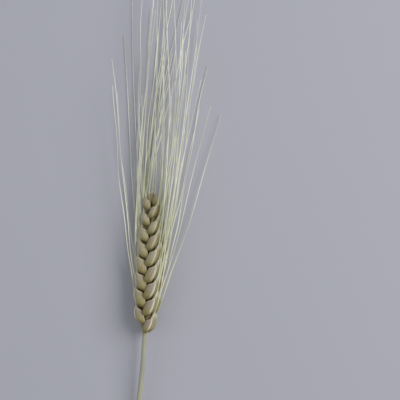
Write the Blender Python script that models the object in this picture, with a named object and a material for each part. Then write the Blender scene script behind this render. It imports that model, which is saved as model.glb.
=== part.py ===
"""A bearded wheat ear, dried, picked with a length of its stem, lying on its side.

Run it with: blender --background --python part.py
Metres, +Z up. The ear points along +Y. The origin is on the table, under the middle of the whole length
and width.
"""

import math
import random
from collections import namedtuple

import bmesh
import bpy
from mathutils import Vector

MM = 0.001
SEED = 41

# The ear: a zigzag rachis with a spikelet at each bend, left and right by turns, and one at the top.
SIDE_SPIKELETS = 16
INTERNODE = 3.6 * MM
CORE_HALF_DEPTH = 2.5 * MM
CORE_HALF_WIDTH = 3.4 * MM
CORE_TIP_SHARE = 0.4
CORE_SIDES = 6
ZIGZAG = 0.55 * MM
NECK_RADIUS = 1.15 * MM
NECK_SWELL = 1.45 * MM
NECK_SWELL_SHARE = 0.40
EAR_LEAN = -1.2 * MM
AXIS_HEIGHT = 5.85 * MM
EAR_ROLL = math.radians(13.0)
EAR_TWIST = math.radians(15.0)
SPIKELET_TILT = math.radians(17.0)
TILT_SPREAD = math.radians(1.5)
ROLL_SPREAD = math.radians(4.0)
BEND_SHARE = 0.25
SMALLEST_BASE_SPIKELET = 0.78
SMALLEST_TOP_SPIKELET = 0.60
FULL_SIZE_FROM = 0.20
TAPERS_FROM = 0.40
TAPER_POWER = 1.2
TERMINAL_SCALE = 0.63
TERMINAL_DROP = 0.4

# A bract or floret: its length, half its depth and half its width; where it sits in its spikelet, outwards,
# sideways and upwards; how far it splays sideways; how far it bows outwards; how blunt it is and where it is
# widest; how much its keel stands out; how far its tip is drawn over to its keel; and how much it slants, its
# outer edge further up than its inner one.
Organ = namedtuple("Organ", (
    "length", "half_depth", "half_width", "out", "side", "up", "splay", "bow", "blunt", "widest", "keel",
    "tip_shift", "slant",
))
GLUME = Organ(10.1 * MM, 2.25 * MM, 2.30 * MM, -0.40 * MM, 3.50 * MM, -0.2 * MM,
              math.radians(-3.0), 0.45 * MM, 0.36, 0.52, 0.20, 0.20, 0.34)
FLORET = Organ(11.8 * MM, 1.50 * MM, 1.75 * MM, 0.80 * MM, 2.10 * MM, 1.3 * MM,
               math.radians(3.0), 0.30 * MM, 0.85, 0.36, 0.06, 0.10, 0.0)
MIDDLE_FLORET = Organ(11.0 * MM, 1.75 * MM, 1.65 * MM, 0.0, 0.0, 2.5 * MM,
                      math.radians(4.0), 0.30 * MM, 0.78, 0.45, 0.06, 0.0, 0.0)
KEEL_ANGLE = math.radians(38.0)
KEEL_SPREAD = math.radians(32.0)
TIP_SIDE_SHARE = -0.2
ROOT_SIDE = 1.0 * MM
ROOT_SHARE = 0.32
GLUME_SIDES = 7
GLUME_RINGS = (0.07, 0.32, 0.64, 0.91)
FLORET_SIDES = 6
FLORET_RINGS = (0.22, 0.60, 0.88)

# The awns: one long bristle from the tip of each floret.
AWN_LENGTH = 122.0 * MM
MIDDLE_AWN_SHARE = 0.72
AWN_BASE_RADIUS = 0.36 * MM
AWN_TIP_RADIUS = 0.14 * MM
AWN_SIDES = 3
AWN_SHARES = (0.0, 0.08, 0.20, 0.42, 0.70, 1.0)
AWN_ROOT_SHARE = 0.80
AWN_KICK = 0.10
AWN_LEAVING_SHARE = 0.12
AWN_FIRST_HANDLE = 0.10
AWN_LAST_HANDLE = 0.40
AWN_LENGTH_SPREAD = (0.92, 1.04)
AWN_SHORTENING = 0.22
LONGEST_AWNS_AT = 0.45
AWN_FLARE_NECK = math.radians(8.0)
AWN_FLARE_TOP = math.radians(-7.0)
AWN_FLARE_SPREAD = math.radians(5.5)
AWN_RISE = (math.radians(-0.5), math.radians(6.0))
AWN_SWAY = 0.8 * MM
AWN_SWAY_TURNS = (0.6, 1.3)
TABLE_CLEARANCE = 0.12 * MM
TABLE_EASING = 1.2 * MM

# The stem: one round straw, from just under the neck down to its cut end on the table.
STEM_LENGTH = 70.0 * MM
STEM_TOP_RADIUS = 1.05 * MM
STEM_CUT_RADIUS = 1.30 * MM
STEM_DRIFT = 2.6 * MM
STEM_SIDES = 12
STEM_STEPS = 14
JOINT_GAP = 0.3 * MM
SHARP_EDGE = math.radians(40.0)

STRAW = (0.47, 0.41, 0.26, 1.0)
STEM_STRAW = (0.40, 0.39, 0.29, 1.0)
STRAW_ROUGHNESS = 0.62


def clear_scene():
    """Removes what the startup file holds."""
    for obj in list(bpy.data.objects):
        bpy.data.objects.remove(obj)


def straw_material(name, colour):
    """A dull, dry plant surface."""
    material = bpy.data.materials.new(name)
    material.use_nodes = True
    shader = material.node_tree.nodes["Principled BSDF"]
    shader.inputs["Base Color"].default_value = colour
    shader.inputs["Roughness"].default_value = STRAW_ROUGHNESS
    shader.inputs["Metallic"].default_value = 0.0
    return material


def axis_point(along):
    """The middle of the ear at a distance from its neck: it leans a little to one side, as it grew."""
    reach = SIDE_SPIKELETS * INTERNODE
    return Vector((EAR_LEAN * (along / reach) ** 2, along, AXIS_HEIGHT))


def rolled(x, y, z, share):
    """A direction in the ear, turned with it about its length: its right side is lifted, most at its top."""
    roll = EAR_ROLL + EAR_TWIST * share
    cos, sin = math.cos(roll), math.sin(roll)
    return Vector((x * cos - z * sin, y, x * sin + z * cos))


def spikelet_scale(share):
    """Spikelets are small at the neck, full from a fifth of the way up, and smaller again at the top."""
    grown = math.sin(min(1.0, share / FULL_SIZE_FROM) * math.pi / 2)
    base = SMALLEST_BASE_SPIKELET + (1.0 - SMALLEST_BASE_SPIKELET) * grown
    towards_top = max(0.0, (share - TAPERS_FROM) / (1.0 - TAPERS_FROM))
    return base * (1.0 - (1.0 - SMALLEST_TOP_SPIKELET) * towards_top**TAPER_POWER)


def mesh_object(name, points, faces, collection):
    """A closed mesh from its points and faces, with the faces turned outwards."""
    mesh = bpy.data.meshes.new(name)
    mesh.from_pydata(points, [], faces)
    shape = bmesh.new()
    shape.from_mesh(mesh)
    bmesh.ops.recalc_face_normals(shape, faces=shape.faces)
    bmesh.ops.triangulate(shape, faces=shape.faces)
    shape.to_mesh(mesh)
    shape.free()
    obj = bpy.data.objects.new(name, mesh)
    collection.objects.link(obj)
    return obj


def tube_faces(rings, sides, first_pole, last_pole):
    """Faces of rings of points in order, closed at both ends by a pole."""
    faces = []
    for side in range(sides):
        after = (side + 1) % sides
        faces.append((first_pole, after, side))
        top = (rings - 1) * sides
        faces.append((last_pole, top + side, top + after))
        for ring in range(rings - 1):
            low, high = ring * sides, (ring + 1) * sides
            faces.append((low + side, low + after, high + after, high + side))
    return faces


class Spikelet:
    """One spikelet's own axes: out from the rachis, side across its broad face, and up along it."""

    def __init__(self, base, out, side, up, scale):
        self.base = base
        self.out = out
        self.side = side
        self.up = up
        self.scale = scale

    def point(self, out, side, up):
        """A point given along the spikelet's axes, in metres before scaling."""
        return self.base + (self.out * out + self.side * side + self.up * up) * self.scale


def pod_centre(organ, hand, share):
    """(out, side, up) of an organ's middle line at a share of its length. hand is 1 or -1, for its side."""
    along = organ.length * share
    bulge = organ.bow * 4.0 * share * (1.0 - share)
    pull = organ.tip_shift * share**3
    out = organ.out + bulge + pull * organ.half_depth
    rooted = max(0.0, 1.0 - share / ROOT_SHARE) ** 2
    side = organ.side + along * math.sin(organ.splay) + pull * organ.half_width * TIP_SIDE_SHARE
    side -= max(0.0, organ.side - ROOT_SIDE) * rooted
    return out, hand * side, organ.up + along * math.cos(organ.splay)


def pod_fullness(organ, share):
    """How full an organ is at a share of its length, from 0 at its ends to 1 where it is widest."""
    power = math.log(0.5) / math.log(organ.widest)
    return math.sin(math.pi * share**power) ** organ.blunt


def pod(name, spikelet, organ, hand, collection):
    """A glume or a floret: a plump pod with a keel along its outer edge."""
    sides, shares = (GLUME_SIDES, GLUME_RINGS) if organ is GLUME else (FLORET_SIDES, FLORET_RINGS)
    points = []
    for share in shares:
        out, side, up = pod_centre(organ, hand, share)
        full = pod_fullness(organ, share)
        for step in range(sides):
            angle = KEEL_ANGLE + step * math.tau / sides
            from_keel = math.remainder(angle - KEEL_ANGLE, math.tau)
            ridge = 1.0 + organ.keel * math.exp(-((from_keel / KEEL_SPREAD) ** 2))
            outwards = organ.half_depth * full * ridge * math.cos(angle)
            sideways = hand * organ.half_width * full * ridge * math.sin(angle)
            points.append(spikelet.point(out + outwards, side + sideways, up + outwards * organ.slant))
    first_pole = len(points)
    points.append(spikelet.point(*pod_centre(organ, hand, 0.0)))
    points.append(spikelet.point(*pod_centre(organ, hand, 1.0)))
    faces = tube_faces(len(shares), sides, first_pole, first_pole + 1)
    return mesh_object(name, points, faces, collection)


def swept(name, path, radii, sides, collection):
    """A rod along a path that runs roughly along Y, with a width and a height at each point."""
    points = []
    for index, (centre, (across, upright)) in enumerate(zip(path, radii)):
        before = path[max(index - 1, 0)]
        after = path[min(index + 1, len(path) - 1)]
        tangent = (after - before).normalized()
        sideways = tangent.cross(Vector((0.0, 0.0, 1.0))).normalized()
        upwards = sideways.cross(tangent).normalized()
        for step in range(sides):
            angle = math.pi / 2 + step * math.tau / sides
            points.append(centre + sideways * across * math.cos(angle) + upwards * upright * math.sin(angle))
    first_pole = len(points)
    points.append(path[0].copy())
    points.append(path[-1].copy())
    faces = tube_faces(len(path), sides, first_pole, first_pole + 1)
    return mesh_object(name, points, faces, collection)


def above_table(height, radius):
    """A height kept clear of the table, easing in smoothly so that a bristle bends along it."""
    lowest = radius + TABLE_CLEARANCE
    return lowest + TABLE_EASING * math.log1p(math.exp((height - lowest) / TABLE_EASING))


def awn(name, spikelet, organ, hand, length, share_up, draw, collection):
    """A bristle that leaves its floret's tip and swings round to run almost along the ear."""
    root = spikelet.point(*pod_centre(organ, hand, AWN_ROOT_SHARE))
    tip = spikelet.point(*pod_centre(organ, hand, 1.0))
    leaving = ((tip - root).normalized() + spikelet.out * AWN_KICK).normalized()
    from_middle = root - axis_point(root.y)
    flare = AWN_FLARE_NECK + (AWN_FLARE_TOP - AWN_FLARE_NECK) * share_up
    flare += draw.uniform(-AWN_FLARE_SPREAD, AWN_FLARE_SPREAD)
    rise = draw.uniform(*AWN_RISE)
    aim = Vector((
        math.copysign(1.0, from_middle.x) * math.tan(flare),
        1.0,
        math.copysign(1.0, from_middle.z) * math.tan(rise),
    )).normalized()
    end = root + leaving.lerp(aim, 1.0 - AWN_LEAVING_SHARE).normalized() * length
    first_handle = root + leaving * length * AWN_FIRST_HANDLE
    last_handle = end - aim * length * AWN_LAST_HANDLE
    sway_phase = draw.uniform(0.0, math.tau)
    sway_turns = draw.uniform(*AWN_SWAY_TURNS)
    path = []
    radii = []
    for step, share in enumerate(AWN_SHARES):
        back = 1.0 - share
        point = (root * back**3 + first_handle * 3 * back**2 * share
                 + last_handle * 3 * back * share**2 + end * share**3)
        radius = AWN_BASE_RADIUS + (AWN_TIP_RADIUS - AWN_BASE_RADIUS) * share
        swing = AWN_SWAY * share * math.sin(sway_phase + sway_turns * math.tau * share)
        point.x += swing
        if step > 1:
            point.z = above_table(point.z, radius)
        path.append(point)
        radii.append((radius, radius))
    return swept(name, path, radii, AWN_SIDES, collection)


def fill_spikelet(label, spikelet, share, draw, collection):
    """Two glumes, two awned florets and the smaller awned floret between them."""
    reach = 1.0 - AWN_SHORTENING * abs(share - LONGEST_AWNS_AT) / (1.0 - LONGEST_AWNS_AT)
    for hand, side in ((-1, "near"), (1, "far")):
        pod(f"{label}_glume_{side}", spikelet, GLUME, hand, collection)
        pod(f"{label}_floret_{side}", spikelet, FLORET, hand, collection)
        length = AWN_LENGTH * reach * draw.uniform(*AWN_LENGTH_SPREAD)
        awn(f"{label}_awn_{side}", spikelet, FLORET, hand, length, share, draw, collection)
    hand = draw.choice((-1, 1))
    pod(f"{label}_floret_middle", spikelet, MIDDLE_FLORET, hand, collection)
    length = AWN_LENGTH * MIDDLE_AWN_SHARE * reach * draw.uniform(*AWN_LENGTH_SPREAD)
    awn(f"{label}_awn_middle", spikelet, MIDDLE_FLORET, hand, length, share, draw, collection)


def side_spikelet(number, draw, collection):
    """The spikelet at one bend of the rachis: even numbers stand to the right, odd ones to the left."""
    hand = 1 if number % 2 == 0 else -1
    share = number / SIDE_SPIKELETS
    tilt = SPIKELET_TILT + draw.uniform(-TILT_SPREAD, TILT_SPREAD)
    roll = draw.uniform(-ROLL_SPREAD, ROLL_SPREAD)
    base = axis_point((number + BEND_SHARE) * INTERNODE) + rolled(hand * ZIGZAG, 0.0, 0.0, share)
    up = rolled(hand * math.sin(tilt), math.cos(tilt), 0.0, share)
    flat_out = rolled(hand * math.cos(tilt), -math.sin(tilt), 0.0, share)
    flat_side = rolled(0.0, 0.0, 1.0, share)
    out = flat_out * math.cos(roll) + flat_side * math.sin(roll)
    side = flat_side * math.cos(roll) - flat_out * math.sin(roll)
    spikelet = Spikelet(base, out, side, up, spikelet_scale(share))
    fill_spikelet(f"spikelet_{number:02d}", spikelet, share, draw, collection)


def top_spikelet(draw, collection):
    """The last spikelet stands straight on the rachis and is turned by a quarter."""
    base = axis_point((SIDE_SPIKELETS - TERMINAL_DROP) * INTERNODE)
    up = (axis_point(SIDE_SPIKELETS * INTERNODE) - axis_point((SIDE_SPIKELETS - 2) * INTERNODE)).normalized()
    out = rolled(0.0, 0.0, 1.0, 1.0)
    spikelet = Spikelet(base, out, up.cross(out).normalized(), up, TERMINAL_SCALE)
    fill_spikelet("spikelet_top", spikelet, 1.0, draw, collection)


def rachis(collection):
    """The middle of the ear, which the spikelets grow from, with the round neck that the stem meets."""
    path = [axis_point(0.0), axis_point(NECK_SWELL_SHARE * INTERNODE)]
    radii = [(NECK_RADIUS, NECK_RADIUS), (NECK_SWELL, NECK_SWELL)]
    for number in range(2, SIDE_SPIKELETS + 1, 2):
        size = spikelet_scale(number / SIDE_SPIKELETS)
        path.append(axis_point(number * INTERNODE))
        radii.append((CORE_HALF_DEPTH * size, CORE_HALF_WIDTH * size))
    path.append(axis_point((SIDE_SPIKELETS + 1) * INTERNODE))
    radii.append((CORE_HALF_DEPTH * CORE_TIP_SHARE, CORE_HALF_WIDTH * CORE_TIP_SHARE))
    return swept("rachis", path, radii, CORE_SIDES, collection)


def fuse(target, collection):
    """Joins every object of the collection to the target in one Boolean union, and removes them."""
    union = target.modifiers.new("grown_together", "BOOLEAN")
    union.operation = "UNION"
    union.operand_type = "COLLECTION"
    union.collection = collection
    union.solver = "MANIFOLD"
    apply_modifiers(target)
    for obj in list(collection.objects):
        bpy.data.objects.remove(obj)
    bpy.data.collections.remove(collection)


def apply_modifiers(obj):
    """Keeps the mesh that the object's modifiers give it."""
    graph = bpy.context.evaluated_depsgraph_get()
    made = bpy.data.meshes.new_from_object(obj.evaluated_get(graph))
    obj.modifiers.clear()
    obj.data = made


def press_flat(obj):
    """Trims what bulges below the table, which leaves the small flat spots that the ear rests on."""
    depth = 10.0 * MM
    bpy.ops.mesh.primitive_cube_add(size=1.0, location=(0.0, 0.0, -depth / 2))
    table = bpy.context.active_object
    table.name = "table_cutter"
    table.scale = (1.0, 1.0, depth)
    table.hide_render = True
    table.display_type = "WIRE"
    trim = obj.modifiers.new("rests_on_table", "BOOLEAN")
    trim.operation = "DIFFERENCE"
    trim.object = table
    trim.solver = "MANIFOLD"
    bpy.context.view_layer.update()
    apply_modifiers(obj)
    bpy.data.objects.remove(table)


def skin_volume(faces):
    """The volume inside a closed skin, negative where its faces look inwards."""
    origin = faces[0].verts[0].co
    volume = 0.0
    for face in faces:
        first, *others = [vertex.co - origin for vertex in face.verts]
        for second, third in zip(others, others[1:]):
            volume += first.dot(second.cross(third)) / 6.0
    return volume


def fill_pockets(obj):
    """Fills the tiny pockets sealed in between the husks: each is a closed skin whose faces look inwards."""
    shape = bmesh.new()
    shape.from_mesh(obj.data)
    left = set(shape.faces)
    while left:
        skin = [left.pop()]
        for face in skin:
            beside = {other for edge in face.edges for other in edge.link_faces} & left
            skin += beside
            left -= beside
        if skin_volume(skin) < 0.0:
            bmesh.ops.delete(shape, geom=skin, context="FACES")
    shape.to_mesh(obj.data)
    shape.free()


def ear():
    """The whole head as one grown body: rachis, glumes, florets and awns."""
    draw = random.Random(SEED)
    scene = bpy.context.scene.collection
    grown = bpy.data.collections.new("grown_parts")
    scene.children.link(grown)
    for number in range(SIDE_SPIKELETS):
        side_spikelet(number, draw, grown)
    top_spikelet(draw, grown)
    obj = rachis(scene)
    obj.name = "ear"
    fuse(obj, grown)
    press_flat(obj)
    fill_pockets(obj)
    obj.data.materials.append(straw_material("ear_straw", STRAW))
    return obj


def stem_height(share):
    """The stem's middle sinks smoothly from the ear's axis to the table at its cut end."""
    eased = share * share * (3.0 - 2.0 * share)
    return AXIS_HEIGHT + (STEM_CUT_RADIUS - AXIS_HEIGHT) * eased


def stem():
    """The straw that carries the ear, cut off square at its lower end."""
    path = []
    radii = []
    for step in range(STEM_STEPS + 1):
        share = step / STEM_STEPS
        path.append(Vector((-STEM_DRIFT * share**2, -JOINT_GAP - STEM_LENGTH * share, stem_height(share))))
        radius = STEM_TOP_RADIUS + (STEM_CUT_RADIUS - STEM_TOP_RADIUS) * share
        radii.append((radius, radius))
    obj = swept("stem", path, radii, STEM_SIDES, bpy.context.scene.collection)
    obj.data.materials.append(straw_material("stem_straw", STEM_STRAW))
    obj.data.shade_smooth()
    obj.data.set_sharp_from_angle(angle=SHARP_EDGE)
    return obj


def centre_over_origin(objects):
    """Moves everything so that the origin lies under the middle of the whole length and width."""
    corners = [vertex.co for obj in objects for vertex in obj.data.vertices]
    for axis in (0, 1):
        middle = (min(co[axis] for co in corners) + max(co[axis] for co in corners)) / 2
        for corner in corners:
            corner[axis] -= middle


def main():
    clear_scene()
    centre_over_origin([ear(), stem()])


main()
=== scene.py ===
"""The looks of a dried bearded wheat ear on its straw, lying on its side on a pale table.

Metres, +Z up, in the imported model's own frame: the ear points along +Y and rests on the table at z = 0.
"""

import math
import random
from collections import namedtuple

import bmesh
import bpy
import numpy as np
from mathutils import Matrix, Vector


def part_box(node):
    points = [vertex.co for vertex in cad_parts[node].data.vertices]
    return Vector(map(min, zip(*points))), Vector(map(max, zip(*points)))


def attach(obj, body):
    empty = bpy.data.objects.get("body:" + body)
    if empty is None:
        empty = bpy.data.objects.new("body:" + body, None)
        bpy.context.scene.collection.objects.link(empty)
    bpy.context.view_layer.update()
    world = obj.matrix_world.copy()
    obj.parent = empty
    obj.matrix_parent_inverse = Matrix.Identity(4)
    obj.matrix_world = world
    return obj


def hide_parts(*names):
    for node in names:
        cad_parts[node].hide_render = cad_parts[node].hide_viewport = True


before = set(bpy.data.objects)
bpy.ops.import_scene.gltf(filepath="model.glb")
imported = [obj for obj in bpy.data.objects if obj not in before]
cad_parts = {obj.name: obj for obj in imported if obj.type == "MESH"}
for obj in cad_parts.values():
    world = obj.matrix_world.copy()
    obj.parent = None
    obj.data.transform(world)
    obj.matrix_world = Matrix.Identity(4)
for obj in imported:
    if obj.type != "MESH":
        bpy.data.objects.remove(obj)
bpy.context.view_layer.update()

MM = 0.001
GROWTH_SEED = 41
LOOKS_SEED = 7

# The plan of the ear is the solids' own, with the same sizes and the same draws.
SIDE_SPIKELETS = 16
INTERNODE = 3.6 * MM
ZIGZAG = 0.55 * MM
EAR_LEAN = -1.2 * MM
AXIS_HEIGHT = 5.85 * MM
EAR_ROLL = math.radians(13.0)
EAR_TWIST = math.radians(15.0)
SPIKELET_TILT = math.radians(17.0)
TILT_SPREAD = math.radians(1.5)
ROLL_SPREAD = math.radians(4.0)
BEND_SHARE = 0.25
SMALLEST_BASE_SPIKELET = 0.78
SMALLEST_TOP_SPIKELET = 0.60
FULL_SIZE_FROM = 0.20
TAPERS_FROM = 0.40
TAPER_POWER = 1.2
TERMINAL_SCALE = 0.63
TERMINAL_DROP = 0.4

# A husk's form. out, side and up say where its foot sits on the spikelet, and splay and bow how it leans
# and arches. blunt and widest say how full it is along its length. keel is how far its back stands out,
# tip_shift how far its tip is drawn outwards, and slant how far its face slopes up the ear.
Organ = namedtuple("Organ", (
    "length", "half_depth", "half_width", "out", "side", "up", "splay", "bow", "blunt", "widest", "keel",
    "tip_shift", "slant",
))
GLUME = Organ(
    length=10.1 * MM, half_depth=2.25 * MM, half_width=2.30 * MM,
    out=-0.40 * MM, side=3.50 * MM, up=-0.2 * MM,
    splay=math.radians(-3.0), bow=0.45 * MM, blunt=0.36, widest=0.52,
    keel=0.20, tip_shift=0.20, slant=0.34,
)
FLORET = Organ(
    length=11.8 * MM, half_depth=1.50 * MM, half_width=1.75 * MM,
    out=0.80 * MM, side=2.10 * MM, up=1.3 * MM,
    splay=math.radians(3.0), bow=0.30 * MM, blunt=0.85, widest=0.36,
    keel=0.06, tip_shift=0.10, slant=0.0,
)
MIDDLE_FLORET = Organ(
    length=11.0 * MM, half_depth=1.75 * MM, half_width=1.65 * MM,
    out=0.0, side=0.0, up=2.5 * MM,
    splay=math.radians(4.0), bow=0.30 * MM, blunt=0.78, widest=0.45,
    keel=0.06, tip_shift=0.0, slant=0.0,
)
KEEL_ANGLE = math.radians(38.0)
KEEL_SPREAD = math.radians(32.0)
TIP_SIDE_SHARE = -0.2
ROOT_SIDE = 1.0 * MM
ROOT_SHARE = 0.32

# The bristles follow the lines that they have in the solids, and are thinner.
AWN_LENGTH = 122.0 * MM
MIDDLE_AWN_SHARE = 0.72
AWN_BASE_RADIUS = 0.28 * MM
AWN_TIP_RADIUS = 0.11 * MM
AWN_ROOT_SHARE = 0.80
AWN_KICK = 0.10
AWN_LEAVING_SHARE = 0.12
AWN_FIRST_HANDLE = 0.10
AWN_LAST_HANDLE = 0.40
AWN_LENGTH_SPREAD = (0.92, 1.04)
AWN_SHORTENING = 0.22
LONGEST_AWNS_AT = 0.45
AWN_FLARE_NECK = math.radians(8.0)
AWN_FLARE_TOP = math.radians(-7.0)
AWN_FLARE_SPREAD = math.radians(5.5)
AWN_RISE = (math.radians(-0.5), math.radians(6.0))
AWN_SWAY = 0.8 * MM
AWN_SWAY_TURNS = (0.6, 1.3)
TABLE_CLEARANCE = 0.12 * MM
TABLE_EASING = 1.2 * MM

STEM_LENGTH = 70.0 * MM
STEM_TOP_RADIUS = 1.05 * MM
STEM_CUT_RADIUS = 1.30 * MM
STEM_DRIFT = 2.6 * MM
JOINT_GAP = 0.3 * MM

# The fine surface that the solids don't have: outer husks, inner husks, bristles, rachis and straw.
GLUME_ROWS = 34
GLUME_COLUMNS = 32
GLUME_INNER_EDGE = math.radians(128.0)
GLUME_OUTER_EDGE = math.radians(112.0)
COLUMN_CROWDING = 1.3
GLUME_ROOT = 0.006
SHOULDER = 0.08
INNER_SHOULDER = 0.075
INNER_SHOULDER_AT = (math.radians(5.0), math.radians(80.0))
BEAK_SPREAD = math.radians(24.0)
BEAK_LENGTH = 0.5 * MM
BEAK_WIDTH = math.radians(8.0)
BEAK_RISES = (0.90, 1.0)
MARGIN_DROP = 0.07
GLUME_WALL = 0.15 * MM
GLUME_MARGIN_WALL = 0.04 * MM
CREST = 0.075
CREST_SPREAD = math.radians(7.0)
CREST_RISES = (0.10, 0.45)
FURROW = 0.040
FURROW_AT = math.radians(17.0)
FURROW_SPREAD = math.radians(8.0)
FURROW_RISES = (0.15, 0.50)
NERVE = 0.010
GLUME_NERVES = 14.0
NERVE_SHIFT = 0.4
NERVELESS_SPREAD = math.radians(22.0)
BUCKLE = 0.022
BUCKLE_RISES = (0.20, 0.50)
GLUME_BUCKLES = 6.0
GLUME_BUCKLE_SKEW = 2.2

FLORET_ROWS = 28
FLORET_COLUMNS = 26
FLORET_ROOT = 0.006
FLORET_NERVES = 7.0
FLORET_NERVE = 0.014
FLORET_NERVE_RISES = (0.25, 0.80)
FLORET_BUCKLES = 5.0
FLORET_TIP_FULLNESS = 0.13
FLORET_TIP_RISES = (0.50, 0.90)

AWN_ROWS = 72
AWN_SIDES = 6
AWN_CROWDING = 1.25
AWN_SWELL = 0.20 * MM
AWN_SWELL_LENGTH = 2.0 * MM
AWN_EDGES = 3
AWN_EDGE = 0.16
AWN_TWIST = 5.0
AWN_WOBBLE = 0.24 * MM
AWN_WOBBLE_UPRIGHT = 0.4
AWN_WOBBLE_TURNS = (1.2, 4.0)
AWN_WOBBLE_RISES = (0.05, 0.40)
AWN_LIFT_RISES = (0.06, 0.18)
BARB_STEP = 1.5 * MM
BARB_JITTER = (0.2, 0.8)
BARB_LENGTH = 0.32 * MM
BARB_LIFT = 0.13 * MM
BARB_WIDTH = 0.06 * MM
BARBS_FROM = 0.05

RACHIS_HALF_DEPTH = 1.5 * MM
RACHIS_HALF_WIDTH = 2.3 * MM
RACHIS_SIDES = 28
RACHIS_ROWS_EACH = 8
RACHIS_START = -1.2 * JOINT_GAP
RACHIS_PAST_LAST = 0.5
RACHIS_SWELLS = (0.2 * INTERNODE, 1.2 * INTERNODE)
RACHIS_THINS_FROM = 0.85
RACHIS_THINNING = 0.6
NECK_RADIUS = 1.12 * MM
COLLAR = 0.28 * MM
COLLAR_AT = 1.1 * MM
COLLAR_SPREAD = 0.55 * MM

STEM_ROWS = 90
STEM_SIDES = 96
STEM_RIBS = 18
STEM_RIB_BUNCHES = 3.0
STEM_RIB_DRIFT = 1.6
STEM_RIB_DEPTH = 0.016
STEM_WAVE = 0.10 * MM
STEM_WAVES = 1.5
STEM_WAVE_RISES = (0.0, 0.2)
STEM_START = -0.2 * JOINT_GAP
STEM_WALL = 0.42 * MM
STEM_HOLLOW_ROWS = 8

# How softly the undersides meet the table, and the angle past which an edge is shaded sharp.
REST_EASING = 0.12 * MM
SHARP_ANGLE = math.radians(60.0)

# The places in the photograph, in its own 400 by 400 pixels, that the camera is set by.
PHOTO_SIDE = 400
NECK_PIXEL = (145.0, 335.0)
TIP_PIXEL = (153.5, 190.0)
CAMERA_DISTANCE = 0.90
CAMERA_LEAN = math.radians(7.0)
SENSOR = 36.0
NEAREST_SEEN = 0.01
FURTHEST_SEEN = 20.0

# The table and the light.
TABLE_HALF = 3.0
TABLE_DROP = 0.02 * MM
TABLE_GLOSS = 0.2
TABLE_ROUGHNESS = 0.9

KEY_PLACE = (1.00, 0.42, 0.85)
KEY_SIZE = 0.90
KEY_POWER = 11.1
KEY_COLOUR = (1.0, 0.985, 0.96)
FILL_PLACE = (-0.9, -0.1, 0.8)
FILL_SIZE = 0.90
FILL_POWER = 1.3
FILL_COLOUR = (0.96, 0.98, 1.0)
SURROUND_COLOUR = (0.95, 0.97, 1.0, 1.0)
SURROUND_STRENGTH = 0.31


def screen(red, green, blue):
    """A colour given as it looks on a screen, from 0 to 255, as the shader takes it."""
    shares = [value / 255.0 for value in (red, green, blue)]
    linear = [s / 12.92 if s <= 0.04045 else ((s + 0.055) / 1.055) ** 2.4 for s in shares]
    return (*linear, 1.0)


TABLE = screen(198, 199, 210)

# The colours of the husks, the bristles and the straw.
HUSK = screen(174, 165, 132)
# A pale husk colour, laid on as painted light towards the top of the ear.
HUSK_PAINTED_LIGHT = screen(212, 204, 174)
HUSK_OLIVE = screen(168, 156, 90)
HUSK_GREY = screen(178, 165, 154)
HUSK_OCHRE = screen(172, 146, 100)
HUSK_OUTER = screen(152, 142, 102)
# The keels' own pale colour, pushed near white as a painted highlight.
HUSK_KEEL_AND_HIGHLIGHT = screen(250, 244, 226)
HUSK_RIM = screen(222, 214, 184)
HUSK_NERVE = screen(150, 138, 98)
HUSK_SPECK = screen(112, 92, 56)
# The dark olive of the husks' feet, also used as painted shade where husks dive in and sit on the rachis.
HUSK_FOOT_AND_CREASE_SHADE = screen(128, 109, 50)

BRISTLE = screen(246, 247, 228)
BRISTLE_GREEN = screen(218, 220, 178)
BRISTLE_PALE = screen(250, 250, 241)
BRISTLE_VEIN = screen(206, 204, 156)
BRISTLE_SHEEN = 0.35

STRAW = screen(183, 182, 157)
STRAW_GREY = screen(170, 172, 158)
STRAW_PALE = screen(214, 210, 186)
STRAW_PITH = screen(222, 212, 184)
# Painted shade for the straw's hollow and for the pores of its cut wall.
STRAW_HOLLOW_SHADE = screen(120, 100, 66)

# How fine the markings are. One number is about how many there are to the metre. A pair is for marks in a
# husk's own lie, across it and along it.
HUSK_PATCHES = 420.0
GLUME_BLOTCHES = (13.0, 6.0)
GLUME_STREAKS = (42.0, 3.5)
GLUME_GRAIN = 5200.0
FLORET_PATCHES = 380.0
FLORET_BLOTCHES = (9.0, 6.0)
FLORET_STREAKS = (34.0, 3.0)
BRISTLE_BANDS = 900.0
BRISTLE_FIBRES = 7000.0
NECK_FIBRES = 4200.0
STRAW_FIBRES = 3600.0
STRAW_STAINS = 260.0
PITH_PORES = 7000.0

# How deep the marks are pressed into the surface.
GLUME_DEPTH = 0.09 * MM
FLORET_DEPTH = 0.07 * MM
BRISTLE_DEPTH = 0.04 * MM
NECK_DEPTH = 0.06 * MM
STRAW_DEPTH = 0.06 * MM

# How far apart two husks lie in the noise of their finish, so that no two are marked alike.
HUSK_SHUFFLE = 90.0


# Small helpers on arrays of numbers.

def eased(low, high, value):
    """0 below low, 1 above high, and smooth between them."""
    share = np.clip((value - low) / (high - low), 0.0, 1.0)
    return share * share * (3.0 - 2.0 * share)


def bell(value, width):
    """1 at zero, falling away to nothing within a few widths."""
    return np.exp(-((value / width) ** 2))


def soft_floor(height, lowest, easing):
    """Heights kept above a lowest one, easing in smoothly."""
    return lowest + easing * np.logaddexp(0.0, (height - lowest) / easing)


def unit(vectors):
    """Each vector at length 1."""
    return vectors / np.linalg.norm(vectors, axis=-1, keepdims=True)


# The plan of the ear.

stem_low, stem_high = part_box("stem")
NECK = np.array([stem_high.x - STEM_TOP_RADIUS, stem_high.y + JOINT_GAP, 0.0])


def axis_point(along):
    """The middle of the ear at a distance from its neck."""
    reach = SIDE_SPIKELETS * INTERNODE
    return NECK + np.array([EAR_LEAN * (along / reach) ** 2, along, AXIS_HEIGHT])


def rolled(x, y, z, share):
    """A direction in the ear, turned with it about its length: its right side is lifted, most at its top."""
    roll = EAR_ROLL + EAR_TWIST * share
    cos, sin = math.cos(roll), math.sin(roll)
    return np.array([x * cos - z * sin, y, x * sin + z * cos])


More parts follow.
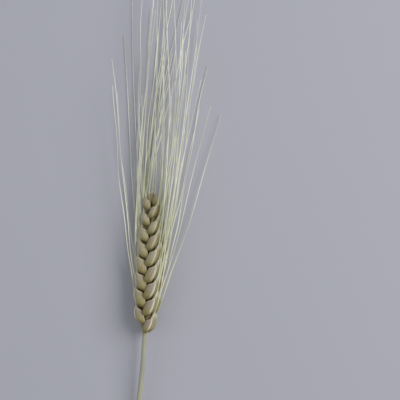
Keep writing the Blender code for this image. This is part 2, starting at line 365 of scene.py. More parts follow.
def spikelet_scale(share):
    """Spikelets are small at the neck, full from a fifth of the way up, and smaller again at the top."""
    grown = math.sin(min(1.0, share / FULL_SIZE_FROM) * math.pi / 2)
    base = SMALLEST_BASE_SPIKELET + (1.0 - SMALLEST_BASE_SPIKELET) * grown
    towards_top = max(0.0, (share - TAPERS_FROM) / (1.0 - TAPERS_FROM))
    return base * (1.0 - (1.0 - SMALLEST_TOP_SPIKELET) * towards_top**TAPER_POWER)


class Spikelet:
    """One spikelet's own axes: out from the rachis, side across its broad face, and up along it."""

    def __init__(self, base, out, side, up, scale):
        self.base = np.array(base)
        self.out = np.array(out)
        self.side = np.array(side)
        self.up = np.array(up)
        self.scale = scale

    def place(self, out, side, up):
        """Points given along the spikelet's axes, in metres before scaling."""
        out, side, up = np.broadcast_arrays(out, side, up)
        steps = (np.multiply.outer(out, self.out) + np.multiply.outer(side, self.side)
                 + np.multiply.outer(up, self.up))
        return self.base + steps * self.scale


def organ_middle(organ, hand, share):
    """(out, side, up) of an organ's middle line at a share of its length. hand is 1 or -1, for its side."""
    along = organ.length * share
    bulge = organ.bow * 4.0 * share * (1.0 - share)
    pull = organ.tip_shift * share**3
    out = organ.out + bulge + pull * organ.half_depth
    rooted = np.maximum(0.0, 1.0 - share / ROOT_SHARE) ** 2
    side = organ.side + along * math.sin(organ.splay) + pull * organ.half_width * TIP_SIDE_SHARE
    side = side - max(0.0, organ.side - ROOT_SIDE) * rooted
    return out, hand * side, organ.up + along * math.cos(organ.splay)


def organ_fullness(organ, share):
    """How full an organ is at a share of its length, from 0 at its ends to 1 where it is widest."""
    power = math.log(0.5) / math.log(organ.widest)
    return np.maximum(np.sin(math.pi * np.clip(share, 0.0, 1.0) ** power), 0.0) ** organ.blunt


def husk_wall(spikelet, organ, hand, share, turn, relief, fullness, inset=0.0, push=0.0):
    """Points on an organ's wall. turn is the angle from its keel, relief stands out, and inset goes in."""
    out, side, up = organ_middle(organ, hand, share)
    ridge = 1.0 + organ.keel * bell(turn, KEEL_SPREAD) + relief
    deep = np.maximum(organ.half_depth * fullness * ridge - inset, 0.0)
    wide = np.maximum(organ.half_width * fullness * ridge - inset, 0.0)
    angle = KEEL_ANGLE + turn
    outwards = deep * np.cos(angle)
    up = up + push + outwards * organ.slant
    return spikelet.place(out + outwards, side + hand * wide * np.sin(angle), up)


# Meshes.

class Batch:
    """The pieces of one kind, gathered into one mesh, with the readings that its finish uses."""

    def __init__(self):
        self.points = []
        self.faces = []
        self.readings = {"along": [], "across": [], "edge": [], "tone": []}
        self.count = 0

    def add(self, points, faces, along, across=0.0, edge=0.0, tone=0.5):
        """Adds one closed piece, whose readings are single numbers or arrays that fit its points."""
        shape = points.shape[:-1]
        self.points.append(points.reshape(-1, 3))
        self.faces += [[corner + self.count for corner in face] for face in faces]
        for name, reading in (("along", along), ("across", across), ("edge", edge), ("tone", tone)):
            self.readings[name].append(np.broadcast_to(reading, shape).reshape(-1))
        self.count += len(self.points[-1])

    def piece(self, name, finish, node):
        """The finished object, riding on the part's one body in place of a node of the solids."""
        points = np.concatenate(self.points)
        points[:, 2] = soft_floor(points[:, 2], 0.0, REST_EASING)
        mesh = bpy.data.meshes.new(name)
        mesh.from_pydata(points.tolist(), [], self.faces)
        for reading, values in self.readings.items():
            attribute = mesh.attributes.new(reading, "FLOAT", "POINT")
            attribute.data.foreach_set("value", np.concatenate(values).astype(np.float32))
        shape = bmesh.new()
        shape.from_mesh(mesh)
        bmesh.ops.recalc_face_normals(shape, faces=shape.faces)
        shape.to_mesh(mesh)
        shape.free()
        mesh.shade_smooth()
        mesh.set_sharp_from_angle(angle=SHARP_ANGLE)
        mesh.materials.append(finish)
        obj = bpy.data.objects.new(name, mesh)
        bpy.context.scene.collection.objects.link(obj)
        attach(obj, "root")
        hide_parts(node)
        return obj


def tube_faces(rows, columns):
    """Faces of rows of points, each row a closed ring, with a flat face over each end."""
    faces = []
    for row in range(rows - 1):
        low, high = row * columns, (row + 1) * columns
        for column in range(columns):
            after = (column + 1) % columns
            faces.append((low + column, low + after, high + after, high + column))
    faces.append(tuple(range(columns)))
    faces.append(tuple(range((rows - 1) * columns, rows * columns)))
    return faces


def shell_faces(rows, columns):
    """Faces of a thin wall: an outer sheet, an inner sheet and the narrow rim between them."""
    inner = rows * columns
    faces = []
    for row in range(rows - 1):
        for column in range(columns - 1):
            first = row * columns + column
            quad = (first, first + 1, first + 1 + columns, first + columns)
            faces.append(quad)
            faces.append(tuple(corner + inner for corner in reversed(quad)))
    rim = list(range(columns))
    rim += [row * columns + columns - 1 for row in range(1, rows)]
    rim += [(rows - 1) * columns + column for column in range(columns - 2, -1, -1)]
    rim += [row * columns for row in range(rows - 2, 0, -1)]
    for place, corner in enumerate(rim):
        after = rim[(place + 1) % len(rim)]
        faces.append((corner, corner + inner, after + inner, after))
    return faces


GLUME_FACES = shell_faces(GLUME_ROWS, GLUME_COLUMNS)
FLORET_FACES = tube_faces(FLORET_ROWS, FLORET_COLUMNS)
AWN_FACES = tube_faces(AWN_ROWS, AWN_SIDES)
BARB_FACES = [(0, 1, 3), (1, 2, 3), (2, 0, 3), (0, 2, 1)]


def line_frames(path):
    """The directions to the side and up at each point of a path that runs roughly along Y."""
    tangent = unit(np.gradient(path, axis=0))
    sideways = unit(np.cross(tangent, np.array([0.0, 0.0, 1.0])))
    return sideways, unit(np.cross(sideways, tangent))


def rings_along(path, sideways, upwards, widths, heights, angles):
    """Rings of points round a path. widths and heights are shaped as rows, or as rows by angles."""
    across = np.asarray(widths).reshape(len(path), -1) * np.cos(angles)
    upright = np.asarray(heights).reshape(len(path), -1) * np.sin(angles)
    return (path[:, None, :] + across[..., None] * sideways[:, None, :]
            + upright[..., None] * upwards[:, None, :])


# The pieces of one spikelet.

def glume(spikelet, hand, looks, batch):
    """An outer husk: a thin keeled boat with nerves, a sloped shoulder, a beak and papery margins."""
    row = np.linspace(0.0, 1.0, GLUME_ROWS)[:, None]
    spread = np.linspace(-1.0, 1.0, GLUME_COLUMNS)[None, :]
    edge = np.abs(spread)
    limit = np.where(spread > 0.0, GLUME_INNER_EDGE, GLUME_OUTER_EDGE)
    turn = np.sign(spread) * limit * edge**COLUMN_CROWDING
    reach = 1.0 - SHOULDER * (1.0 - bell(turn, BEAK_SPREAD)) - MARGIN_DROP * edge**4
    reach = reach - INNER_SHOULDER * eased(*INNER_SHOULDER_AT, turn)
    share = GLUME_ROOT + (reach - GLUME_ROOT) * row
    phase = looks.uniform(0.0, math.tau)
    lean = looks.uniform(-1.0, 1.0)
    flank = 1.0 - bell(turn, NERVELESS_SPREAD)
    buckles = np.sin(phase + GLUME_BUCKLES * share + GLUME_BUCKLE_SKEW * lean * turn)
    relief = CREST * bell(turn, CREST_SPREAD) * eased(*CREST_RISES, share)
    relief = relief - FURROW * bell(np.abs(turn) - FURROW_AT, FURROW_SPREAD) * eased(*FURROW_RISES, share)
    relief = relief + NERVE * np.cos(turn * GLUME_NERVES + NERVE_SHIFT * phase) * flank
    relief = relief + BUCKLE * buckles * eased(*BUCKLE_RISES, share)
    fullness = organ_fullness(GLUME, share)
    push = BEAK_LENGTH * bell(turn, BEAK_WIDTH) * eased(*BEAK_RISES, share)
    wall = GLUME_MARGIN_WALL + (GLUME_WALL - GLUME_MARGIN_WALL) * (1.0 - edge**2)
    outer = husk_wall(spikelet, GLUME, hand, share, turn, relief, fullness, push=push)
    inner = husk_wall(spikelet, GLUME, hand, share, turn, relief, fullness, inset=wall, push=push)
    rim = np.maximum(row, edge) ** 3
    batch.add(np.stack([outer, inner]), GLUME_FACES, share, turn / math.pi, rim, looks.random())


def floret(spikelet, organ, hand, looks, batch):
    """An inner husk closed round its grain, drawn out at its tip into the bristle."""
    share = np.linspace(FLORET_ROOT, 1.0, FLORET_ROWS)[:, None]
    turn = np.linspace(-math.pi, math.pi, FLORET_COLUMNS, endpoint=False)[None, :]
    tip_fullness = FLORET_TIP_FULLNESS * eased(*FLORET_TIP_RISES, share)
    fullness = np.maximum(organ_fullness(organ, share), tip_fullness)
    relief = FLORET_NERVE * np.cos(turn * FLORET_NERVES) * eased(*FLORET_NERVE_RISES, share)
    relief = relief + BUCKLE * np.sin(looks.uniform(0.0, math.tau) + FLORET_BUCKLES * share + turn)
    points = husk_wall(spikelet, organ, hand, share, turn, relief, fullness)
    batch.add(points, FLORET_FACES, share, np.abs(turn) / math.pi, tone=looks.random())


def awn_line(spikelet, organ, hand, length, share_up, draw, looks):
    """The middle line of a bristle and its radius at each point, from inside its floret to its tip."""
    root = spikelet.place(*organ_middle(organ, hand, AWN_ROOT_SHARE))
    tip = spikelet.place(*organ_middle(organ, hand, 1.0))
    leaving = unit(unit(tip - root) + spikelet.out * AWN_KICK)
    from_middle = root - axis_point(root[1] - NECK[1])
    flare = AWN_FLARE_NECK + (AWN_FLARE_TOP - AWN_FLARE_NECK) * share_up
    flare += draw.uniform(-AWN_FLARE_SPREAD, AWN_FLARE_SPREAD)
    rise = draw.uniform(*AWN_RISE)
    aim = unit(np.array([
        math.copysign(1.0, from_middle[0]) * math.tan(flare),
        1.0,
        math.copysign(1.0, from_middle[2]) * math.tan(rise),
    ]))
    end = root + unit(leaving * AWN_LEAVING_SHARE + aim * (1.0 - AWN_LEAVING_SHARE)) * length
    first_handle = root + leaving * length * AWN_FIRST_HANDLE
    last_handle = end - aim * length * AWN_LAST_HANDLE
    sway_phase = draw.uniform(0.0, math.tau)
    sway_turns = draw.uniform(*AWN_SWAY_TURNS)
    share = np.linspace(0.0, 1.0, AWN_ROWS) ** AWN_CROWDING
    back = 1.0 - share
    path = (np.multiply.outer(back**3, root) + np.multiply.outer(3 * back**2 * share, first_handle)
            + np.multiply.outer(3 * back * share**2, last_handle) + np.multiply.outer(share**3, end))
    path[:, 0] += AWN_SWAY * share * np.sin(sway_phase + sway_turns * math.tau * share)
    for axis, wobble in ((0, AWN_WOBBLE), (2, AWN_WOBBLE * AWN_WOBBLE_UPRIGHT)):
        turns = looks.uniform(*AWN_WOBBLE_TURNS)
        phase = looks.uniform(0.0, math.tau)
        swing = np.sin(phase + turns * math.tau * share)
        path[:, axis] += wobble * eased(*AWN_WOBBLE_RISES, share) * swing
    radius = AWN_BASE_RADIUS + (AWN_TIP_RADIUS - AWN_BASE_RADIUS) * share
    lifted = soft_floor(path[:, 2], radius + TABLE_CLEARANCE, TABLE_EASING)
    path[:, 2] += (lifted - path[:, 2]) * eased(*AWN_LIFT_RISES, share)
    radius = radius + AWN_SWELL * bell(share * length, AWN_SWELL_LENGTH)
    return share, path, radius


def awn(spikelet, organ, hand, length, share_up, draw, looks, batch):
    """A long bristle with three rough edges, set with tiny barbs that point to its tip."""
    share, path, radius = awn_line(spikelet, organ, hand, length, share_up, draw, looks)
    sideways, upwards = line_frames(path)
    angles = np.linspace(0.0, math.tau, AWN_SIDES, endpoint=False)[None, :]
    twist = looks.uniform(0.0, math.tau) + AWN_TWIST * share[:, None]
    edged = radius[:, None] * (1.0 + AWN_EDGE * np.cos(AWN_EDGES * angles))
    rings = rings_along(path, sideways, upwards, edged, edged, angles + twist)
    tone = looks.random()
    batch.add(rings, AWN_FACES, share[:, None], tone=tone)
    steps = np.concatenate([[0.0], np.cumsum(np.linalg.norm(np.diff(path, axis=0), axis=1))])
    for number in range(int(steps[-1] * (1.0 - BARBS_FROM) / BARB_STEP)):
        place = steps[-1] * BARBS_FROM + (number + looks.uniform(*BARB_JITTER)) * BARB_STEP
        row = min(int(np.searchsorted(steps, place)), AWN_ROWS - 2)
        along = unit(path[row + 1] - path[row])
        centre = path[row] + along * (place - steps[row])
        angle = (number % AWN_EDGES) * math.tau / AWN_EDGES + twist[row, 0]
        outwards = sideways[row] * math.cos(angle) + upwards[row] * math.sin(angle)
        beside = np.cross(along, outwards)
        foot = centre + outwards * radius[row]
        corners = np.array([
            foot - beside * BARB_WIDTH - outwards * BARB_WIDTH,
            foot + along * BARB_LENGTH * 0.5 - outwards * BARB_WIDTH,
            foot + beside * BARB_WIDTH - outwards * BARB_WIDTH,
            foot + along * BARB_LENGTH + outwards * BARB_LIFT,
        ])
        batch.add(corners, BARB_FACES, share[row], tone=tone)


def fill_spikelet(spikelet, share, draw, looks, glumes, florets, awns):
    """Two glumes, two awned florets and the smaller awned floret between them, drawn as in the solids."""
    reach = 1.0 - AWN_SHORTENING * abs(share - LONGEST_AWNS_AT) / (1.0 - LONGEST_AWNS_AT)
    for hand in (-1, 1):
        glume(spikelet, hand, looks, glumes)
        floret(spikelet, FLORET, hand, looks, florets)
        length = AWN_LENGTH * reach * draw.uniform(*AWN_LENGTH_SPREAD)
        awn(spikelet, FLORET, hand, length, share, draw, looks, awns)
    hand = draw.choice((-1, 1))
    floret(spikelet, MIDDLE_FLORET, hand, looks, florets)
    length = AWN_LENGTH * MIDDLE_AWN_SHARE * reach * draw.uniform(*AWN_LENGTH_SPREAD)
    awn(spikelet, MIDDLE_FLORET, hand, length, share, draw, looks, awns)


def side_spikelet(number, draw):
    """The spikelet at one bend of the rachis: even numbers stand to the right, odd ones to the left."""
    hand = 1 if number % 2 == 0 else -1
    share = number / SIDE_SPIKELETS
    tilt = SPIKELET_TILT + draw.uniform(-TILT_SPREAD, TILT_SPREAD)
    roll = draw.uniform(-ROLL_SPREAD, ROLL_SPREAD)
    base = axis_point((number + BEND_SHARE) * INTERNODE) + rolled(hand * ZIGZAG, 0.0, 0.0, share)
    up = rolled(hand * math.sin(tilt), math.cos(tilt), 0.0, share)
    flat_out = rolled(hand * math.cos(tilt), -math.sin(tilt), 0.0, share)
    flat_side = rolled(0.0, 0.0, 1.0, share)
    out = flat_out * math.cos(roll) + flat_side * math.sin(roll)
    side = flat_side * math.cos(roll) - flat_out * math.sin(roll)
    return Spikelet(base, out, side, up, spikelet_scale(share))


def top_spikelet():
    """The last spikelet stands straight on the rachis and is turned by a quarter."""
    base = axis_point((SIDE_SPIKELETS - TERMINAL_DROP) * INTERNODE)
    up = unit(axis_point(SIDE_SPIKELETS * INTERNODE) - axis_point((SIDE_SPIKELETS - 2) * INTERNODE))
    out = rolled(0.0, 0.0, 1.0, 1.0)
    return Spikelet(base, out, unit(np.cross(up, out)), up, TERMINAL_SCALE)


def rachis(batch):
    """The zigzag axis that the spikelets grow from, with the collared neck that the straw runs into."""
    last = (SIDE_SPIKELETS + RACHIS_PAST_LAST) * INTERNODE
    steps = np.linspace(RACHIS_START, last, SIDE_SPIKELETS * RACHIS_ROWS_EACH)
    path = np.array([axis_point(step) for step in steps])
    bends = np.cos(math.pi * (steps / INTERNODE - BEND_SHARE))
    grown = eased(*RACHIS_SWELLS, steps)
    path[:, 0] += ZIGZAG * bends * grown
    top = 1.0 - RACHIS_THINNING * eased(RACHIS_THINS_FROM * last, last, steps)
    collar = COLLAR * bell(steps - COLLAR_AT, COLLAR_SPREAD)
    wide = (NECK_RADIUS + (RACHIS_HALF_DEPTH - NECK_RADIUS) * grown) * top + collar
    tall = (NECK_RADIUS + (RACHIS_HALF_WIDTH - NECK_RADIUS) * grown) * top + collar
    sideways, upwards = line_frames(path)
    angles = np.linspace(0.0, math.tau, RACHIS_SIDES, endpoint=False)[None, :]
    rings = rings_along(path, sideways, upwards, wide, tall, angles)
    batch.add(rings, tube_faces(len(steps), RACHIS_SIDES), (steps / last)[:, None])


def stem(batch):
    """The straw: fine ribs along it, a slight bow, and a cut end that shows its thin wall and its hollow."""
    share = np.linspace(0.0, 1.0, STEM_ROWS)
    wave = STEM_WAVE * np.sin(math.tau * STEM_WAVES * share) * eased(*STEM_WAVE_RISES, share)
    path = NECK + np.stack([
        wave - STEM_DRIFT * share**2,
        np.linspace(STEM_START, -JOINT_GAP - STEM_LENGTH, STEM_ROWS),
        AXIS_HEIGHT + (STEM_CUT_RADIUS - AXIS_HEIGHT) * eased(0.0, 1.0, share),
    ], axis=1)
    sideways, upwards = line_frames(path)
    radius = STEM_TOP_RADIUS + (STEM_CUT_RADIUS - STEM_TOP_RADIUS) * share
    last = STEM_ROWS - 1
    # The rings run down the outside, over the cut wall and back up the hollow, to where it is closed.
    # walls_in counts the wall thicknesses from the outside to a ring.
    # inside is 0 outside, 1 on the cut and 2 in the hollow.
    rows = [*range(STEM_ROWS), last, *range(last, last - STEM_HOLLOW_ROWS, -1)]
    walls_in = np.array([0.0] * STEM_ROWS + [0.5] + [1.0] * (STEM_HOLLOW_ROWS - 1) + [2.0])
    inside = np.array([0.0] * STEM_ROWS + [1.0, 1.0] + [2.0] * (STEM_HOLLOW_ROWS - 1))
    angles = np.linspace(0.0, math.tau, STEM_SIDES, endpoint=False)[None, :]
    ribs = np.cos(STEM_RIBS * angles + STEM_RIB_DRIFT * np.sin(STEM_RIB_BUNCHES * angles))
    relief = 1.0 + STEM_RIB_DEPTH * ribs * (1.0 - inside / 2.0)[:, None]
    radii = (radius[rows] - STEM_WALL * walls_in)[:, None] * relief
    rings = rings_along(path[rows], sideways[rows], upwards[rows], radii, radii, angles)
    batch.add(rings, tube_faces(len(rows), STEM_SIDES), (share[rows] + inside)[:, None], ribs)


# Finishes.

class Reading:
    """A number that changes over a surface. Arithmetic on it adds Math nodes to its finish."""

    def __init__(self, finish, socket):
        self.finish = finish
        self.socket = socket

    def __add__(self, other):
        return self.finish.maths("ADD", self, other)

    def __radd__(self, other):
        return self.finish.maths("ADD", other, self)

    def __sub__(self, other):
        return self.finish.maths("SUBTRACT", self, other)

    def __rsub__(self, other):
        return self.finish.maths("SUBTRACT", other, self)

    def __mul__(self, other):
        return self.finish.maths("MULTIPLY", self, other)

    def __rmul__(self, other):
        return self.finish.maths("MULTIPLY", other, self)


class Finish:
    """A material in the making: its nodes, and the readings that drive its shader."""

    def __init__(self, name):
        self.material = bpy.data.materials.new(name)
        self.material.use_nodes = True
        self.nodes = self.material.node_tree.nodes
        self.links = self.material.node_tree.links
        self.shader = self.nodes["Principled BSDF"]

    def plug(self, socket, value):
        """Gives a socket a value, or a link from a reading or another socket."""
        if isinstance(value, Reading):
            value = value.socket
        if isinstance(value, bpy.types.NodeSocket):
            self.links.new(value, socket)
        else:
            socket.default_value = value

    def node(self, kind, settings, sockets):
        """Adds a node of a type, with its settings set first and then its sockets."""
        made = self.nodes.new(kind)
        for name, value in settings.items():
            setattr(made, name, value)
        for name, value in sockets.items():
            self.plug(made.inputs[name], value)
        return made

    def maths(self, operation, *terms):
        """A reading worked out from others, or from numbers, by one Math node."""
        made = self.node("ShaderNodeMath", {"operation": operation}, dict(enumerate(terms)))
        return Reading(self, made.outputs[0])

    def attribute(self, name):
        """A reading that the mesh carries at each point."""
        made = self.node("ShaderNodeAttribute", {"attribute_name": name}, {})
        return Reading(self, made.outputs["Fac"])

    def where(self):
        """The place on the object, in metres."""
        return self.node("ShaderNodeTexCoord", {}, {}).outputs["Object"]

    def place(self, lengthwise=1.0):
        """The place on the object. A small lengthwise number draws the marks out along the ear."""
        sockets = {0: self.where(), 1: (1.0, lengthwise, 1.0)}
        return self.node("ShaderNodeVectorMath", {"operation": "MULTIPLY"}, sockets).outputs[0]

    def up_ear(self):
        """How far up the ear a place is, from 0 at its neck to 1 at its top."""
        parts = self.node("ShaderNodeSeparateXYZ", {}, {"Vector": self.where()}).outputs
        return (Reading(self, parts["Y"]) - float(NECK[1])) * (1.0 / (SIDE_SPIKELETS * INTERNODE))

    def husk_place(self, along, across, tone, fine, long):
        """A place on a husk in its own lie: finer across it than along it, and new on each husk."""
        sockets = {"X": across * fine, "Y": along * long, "Z": tone * HUSK_SHUFFLE}
        return self.node("ShaderNodeCombineXYZ", {}, sockets).outputs["Vector"]

    def noise(self, vector, scale, detail=2.0):
        """Soft random marks, mostly between 0.3 and 0.7."""
        sockets = {"Vector": vector, "Scale": scale, "Detail": detail}
        return Reading(self, self.node("ShaderNodeTexNoise", {}, sockets).outputs["Fac"])

    def rises(self, value, low, high):
        """0 below low, 1 above high, and smooth between."""
        settings = {"interpolation_type": "SMOOTHSTEP"}
        made = self.node("ShaderNodeMapRange", settings, {"Value": value, "From Min": low, "From Max": high})
        return Reading(self, made.outputs["Result"])

    def near(self, value, centre, width):
        """1 where a value is at the centre, falling to 0 a width away."""
        return 1.0 - self.rises(self.maths("ABSOLUTE", value - centre), 0.0, width)

    def mix(self, mask, under, over):
        """The colour over, laid on the colour under where the mask is 1."""
        # A Mix node of colours takes its factor at socket 0 and its colours at 6 and 7, and gives output 2.
        made = self.node("ShaderNodeMix", {"data_type": "RGBA"}, {0: mask, 6: under, 7: over})
        return made.outputs[2]

    def coats(self, colour, *coats):
        """A ground colour with other colours laid on it in turn, each where its own mask is 1."""
        for mask, over in coats:
            colour = self.mix(mask, colour, over)
        return colour

    def bump(self, height, distance):
        """Presses a reading into the surface. distance is how deep."""
        made = self.node("ShaderNodeBump", {}, {"Height": height, "Distance": distance, "Strength": 1.0})
        self.plug(self.shader.inputs["Normal"], made.outputs["Normal"])

    def dress(self, colour, roughness):
        """Sets the colour and the roughness, and gives the finished material."""
        self.plug(self.shader.inputs["Base Color"], colour)
        self.plug(self.shader.inputs["Roughness"], roughness)
        return self.material


def glume_finish():
    """Outer husk: olive at its foot and grey buff above, with a pale keel and rim, nerves and dry specks.
    Painted light pales the husks towards the top of the ear, a painted highlight lies along the keels and is
    strongest near the neck, and painted shade darkens each husk's foot.
    """
    finish = Finish("glume_husk")
    along = finish.attribute("along")
    across = finish.attribute("across")
    edge = finish.attribute("edge")
    tone = finish.attribute("tone")
    patches = finish.noise(finish.place(), HUSK_PATCHES, 3.0)
    blotches = finish.noise(finish.husk_place(along, across, tone, *GLUME_BLOTCHES), 1.0, 4.0)
    streaks = finish.noise(finish.husk_place(along, across, tone, *GLUME_STREAKS), 1.0, 3.0)
    grain = finish.noise(finish.place(), GLUME_GRAIN)
    up_ear = finish.up_ear()
    greyed = finish.rises(along * 0.6 + tone * 0.5 + patches * 0.6, 0.60, 1.10)
    # Painted light: the husks are laid paler towards the top of the ear, and so darker towards its neck.
    painted_light_up_ear = finish.rises(up_ear, 0.1, 1.0) * 0.8
    browned = finish.rises(tone, 0.80, 1.0) * 0.35
    foot = (1.0 - finish.rises(along + patches * 0.3, 0.30, 0.85)) * 0.9
    blotched = finish.rises(blotches, 0.50, 0.70) * 0.35
    nerves = finish.rises(finish.maths("COSINE", across * (GLUME_NERVES * math.pi)), 0.2, 1.0)
    streaked = finish.rises(streaks, 0.52, 0.72) * 0.40
    outer_side = finish.rises(0.0 - across, 0.05, 0.14) * 0.8
    # The keel's own pale stroke with a painted highlight laid on it, brightest near the neck and fading up
    # the ear.
    keel = finish.near(across, 0.0, 0.095) * finish.rises(along, 0.12, 0.40) * (1.1 - up_ear * 0.85)
    rim = finish.rises(edge + streaks * 0.2, 0.82, 1.05) * 0.8
    specks = finish.rises(grain, 0.66, 0.76) * 0.5
    # Painted shade at the foot of each husk, where it dives in towards the rachis, in a dark olive that is
    # partly its own colour.
    root = (1.0 - finish.rises(along, 0.02, 0.18)) * 0.85
    colour = finish.coats(
        HUSK,
        (greyed, HUSK_GREY),
        (painted_light_up_ear, HUSK_PAINTED_LIGHT),
        (browned, HUSK_OCHRE),
        (foot, HUSK_OLIVE),
        (blotched, HUSK_OLIVE),
        (nerves * 0.32, HUSK_NERVE),
        (streaked, HUSK_NERVE),
        (outer_side, HUSK_OUTER),
        (keel, HUSK_KEEL_AND_HIGHLIGHT),
        (rim, HUSK_RIM),
        (specks, HUSK_SPECK),
        (root, HUSK_FOOT_AND_CREASE_SHADE),
    )
    finish.bump(nerves * 0.6 + streaks * 1.1 + blotches + grain * 0.4, GLUME_DEPTH)
    return finish.dress(colour, 0.54 + streaks * 0.26)


def floret_finish():
    """Inner husk: greener and smoother than the glume, with nerves that run up into the bristle, and painted
    shade at its foot.
    """
    finish = Finish("floret_husk")
    along = finish.attribute("along")
    across = finish.attribute("across")
    tone = finish.attribute("tone")
    patches = finish.noise(finish.place(), FLORET_PATCHES, 3.0)
    blotches = finish.noise(finish.husk_place(along, across, tone, *FLORET_BLOTCHES), 1.0, 4.0)
    streaks = finish.noise(finish.husk_place(along, across, tone, *FLORET_STREAKS), 1.0, 3.0)
    mellowed = finish.rises(tone + patches * 0.8, 0.2, 1.3)
    blotched = finish.rises(blotches, 0.50, 0.72) * 0.35
    nerves = finish.rises(finish.maths("COSINE", across * (FLORET_NERVES * math.pi)), 0.3, 1.0)
    streaked = finish.rises(streaks, 0.52, 0.72) * 0.35
    tip = finish.rises(along, 0.62, 0.98) * 0.8
    # Painted shade at the floret's foot, deep inside the glumes.
    root = (1.0 - finish.rises(along, 0.02, 0.30)) * 0.8
    colour = finish.coats(
        HUSK_OLIVE,
        (mellowed, HUSK),
        (blotched, HUSK_GREY),
        (nerves * 0.35, HUSK_NERVE),
        (streaked, HUSK_NERVE),
        (tip, BRISTLE),
        (root, HUSK_FOOT_AND_CREASE_SHADE),
    )
    finish.bump(nerves * 0.7 + streaks + blotches * 0.8, FLORET_DEPTH)
    return finish.dress(colour, 0.50 + streaks * 0.24)


def awn_finish():
    """Bristle: green ivory near its floret and paler towards its tip."""
    finish = Finish("awn_bristle")
    along = finish.attribute("along")
    tone = finish.attribute("tone")
    bands = finish.noise(finish.place(0.25), BRISTLE_BANDS)
    fibres = finish.noise(finish.place(0.05), BRISTLE_FIBRES)
    ripened = finish.rises(along + bands * 0.4, 0.15, 0.75)
    bleached = finish.rises(tone + along * 0.5, 0.6, 1.3) * 0.8
    veined = finish.rises(fibres, 0.50, 0.70) * 0.45
    colour = finish.coats(
        BRISTLE_GREEN,
        (ripened, BRISTLE),
        (bleached, BRISTLE_PALE),
        (veined, BRISTLE_VEIN),
    )
    finish.bump(bands * 0.5 + fibres, BRISTLE_DEPTH)
    finish.shader.inputs["Sheen Weight"].default_value = BRISTLE_SHEEN
    return finish.dress(colour, 0.42 + bands * 0.2)


def rachis_finish():
    """Rachis and neck: dry straw with fibres along it, with painted shade above the neck where the husks sit
    on it.
    """
    finish = Finish("rachis_straw")
    along = finish.attribute("along")
    fibres = finish.noise(finish.place(0.08), NECK_FIBRES, 3.0)
    fibrous = finish.rises(fibres, 0.42, 0.72) * 0.6
    # Painted shade over the rachis above its neck, where the spikelets cover it.
    painted_shade_under_husks = finish.rises(along, 0.02, 0.07) * 0.7
    colour = finish.coats(STRAW, (fibrous, HUSK_OLIVE), (painted_shade_under_husks, HUSK_FOOT_AND_CREASE_SHADE))
    finish.bump(fibres, NECK_DEPTH)
    return finish.dress(colour, 0.55 + fibres * 0.2)


def straw_finish():
    """Straw: grey green with a waxy gloss, ribs and fibres, and a pale cut wall round a hollow darkened with
    painted shade, its pores painted in the same shade.
    """
    finish = Finish("stem_straw")
    along = finish.attribute("along")
    ribs = finish.attribute("across")
    fibres = finish.noise(finish.place(0.05), STRAW_FIBRES, 3.0)
    stains = finish.noise(finish.place(0.35), STRAW_STAINS, 4.0)
    greener = finish.rises(stains, 0.38, 0.62)
    rib_crests = finish.rises(ribs, 0.0, 1.0) * 0.35
    fibrous = finish.rises(fibres, 0.5, 0.7) * 0.35
    towards_cut = finish.rises(along, 0.55, 1.0) * 0.45
    cut = finish.rises(along, 1.0, 1.3)
    # Painted shade down the hollow of the straw.
    hollow = finish.rises(along, 2.1, 2.6)
    # Pores in the cut wall, painted in the same shade as the hollow.
    pores = finish.rises(finish.noise(finish.place(), PITH_PORES), 0.52, 0.66) * 0.45
    pith = finish.mix(pores, STRAW_PITH, STRAW_HOLLOW_SHADE)
    colour = finish.coats(
        STRAW_GREY,
        (greener, STRAW),
        (rib_crests, STRAW_PALE),
        (fibrous, STRAW_PALE),
        (towards_cut, STRAW_PALE),
        (cut, pith),
        (hollow, STRAW_HOLLOW_SHADE),
    )
    finish.bump(fibres * 0.8 + ribs * 0.2, STRAW_DEPTH)
    return finish.dress(colour, 0.38 + fibres * 0.25)


def table_finish():
    """A plain matt surface."""
    finish = Finish("pale_table")
    finish.shader.inputs["Specular IOR Level"].default_value = TABLE_GLOSS
    return finish.dress(TABLE, TABLE_ROUGHNESS)


# The camera, the table and the light.

def lay_table():
    """A plain pale table under the ear."""
    mesh = bpy.data.meshes.new("table")
    corners = [(x * TABLE_HALF, y * TABLE_HALF, 0.0) for x, y in ((-1, -1), (1, -1), (1, 1), (-1, 1))]
    mesh.from_pydata(corners, [], [(0, 1, 2, 3)])
    mesh.materials.append(table_finish())
    table = bpy.data.objects.new("table", mesh)
    bpy.context.scene.collection.objects.link(table)
    table.location.z = -TABLE_DROP


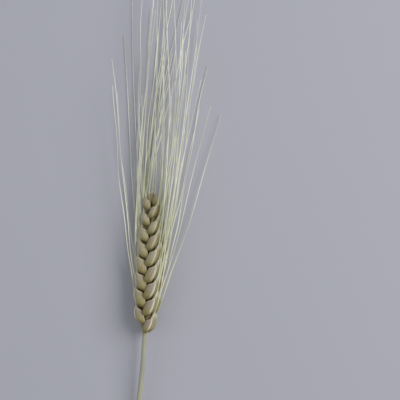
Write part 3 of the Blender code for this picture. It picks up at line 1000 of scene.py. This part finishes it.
def place_camera():
    """Looks down from a little to the right, turned and moved so that neck and tip fall on their pixels."""
    back = np.array([math.sin(CAMERA_LEAN), 0.0, math.cos(CAMERA_LEAN)])
    flat_right = np.array([math.cos(CAMERA_LEAN), 0.0, -math.sin(CAMERA_LEAN)])
    flat_above = np.cross(back, flat_right)
    neck = axis_point(0.0)
    reach = top_spikelet().place(0.0, 0.0, FLORET.up + FLORET.length) - neck
    seen = (reach @ flat_right, reach @ flat_above)
    pictured = (TIP_PIXEL[0] - NECK_PIXEL[0], NECK_PIXEL[1] - TIP_PIXEL[1])
    pixel = math.hypot(*seen) / math.hypot(*pictured)
    turn = math.atan2(seen[1], seen[0]) - math.atan2(pictured[1], pictured[0])
    right = flat_right * math.cos(turn) + flat_above * math.sin(turn)
    above = np.cross(back, right)
    to_centre = (PHOTO_SIDE / 2 - NECK_PIXEL[0], NECK_PIXEL[1] - PHOTO_SIDE / 2)
    centre = neck + (right * to_centre[0] + above * to_centre[1]) * pixel
    data = bpy.data.cameras.new("camera")
    data.sensor_width = SENSOR
    data.lens = SENSOR * CAMERA_DISTANCE / (PHOTO_SIDE * pixel)
    data.clip_start = NEAREST_SEEN
    data.clip_end = FURTHEST_SEEN
    camera = bpy.data.objects.new("camera", data)
    camera.location = centre + back * CAMERA_DISTANCE
    camera.rotation_euler = Matrix((right, above, back)).transposed().to_euler()
    bpy.context.scene.collection.objects.link(camera)
    bpy.context.scene.camera = camera


def area_light(name, place, size, power, colour):
    """A soft square light aimed at the ear."""
    data = bpy.data.lights.new(name, "AREA")
    data.size = size
    data.energy = power
    data.color = colour
    light = bpy.data.objects.new(name, data)
    light.location = place
    light.rotation_euler = (-Vector(place)).to_track_quat("-Z", "Y").to_euler()
    bpy.context.scene.collection.objects.link(light)


def light_scene():
    """Soft studio light: a broad key at the upper right, a weak fill at the left and a pale surround."""
    area_light("key", KEY_PLACE, KEY_SIZE, KEY_POWER, KEY_COLOUR)
    area_light("fill", FILL_PLACE, FILL_SIZE, FILL_POWER, FILL_COLOUR)
    world = bpy.data.worlds.new("surround")
    world.use_nodes = True
    background = world.node_tree.nodes["Background"]
    background.inputs["Color"].default_value = SURROUND_COLOUR
    background.inputs["Strength"].default_value = SURROUND_STRENGTH
    scene = bpy.context.scene
    scene.world = world
    scene.view_settings.view_transform = "Standard"


def grow():
    """Makes every piece of the ear and its straw."""
    draw = random.Random(GROWTH_SEED)
    looks = random.Random(LOOKS_SEED)
    glumes = Batch()
    florets = Batch()
    awns = Batch()
    for number in range(SIDE_SPIKELETS):
        spikelet = side_spikelet(number, draw)
        fill_spikelet(spikelet, number / SIDE_SPIKELETS, draw, looks, glumes, florets, awns)
    fill_spikelet(top_spikelet(), 1.0, draw, looks, glumes, florets, awns)
    axis = Batch()
    rachis(axis)
    straw = Batch()
    stem(straw)
    glumes.piece("glumes", glume_finish(), "ear")
    florets.piece("florets", floret_finish(), "ear")
    awns.piece("awns", awn_finish(), "ear")
    axis.piece("rachis", rachis_finish(), "ear")
    straw.piece("straw", straw_finish(), "stem")


place_camera()
light_scene()
lay_table()
grow()
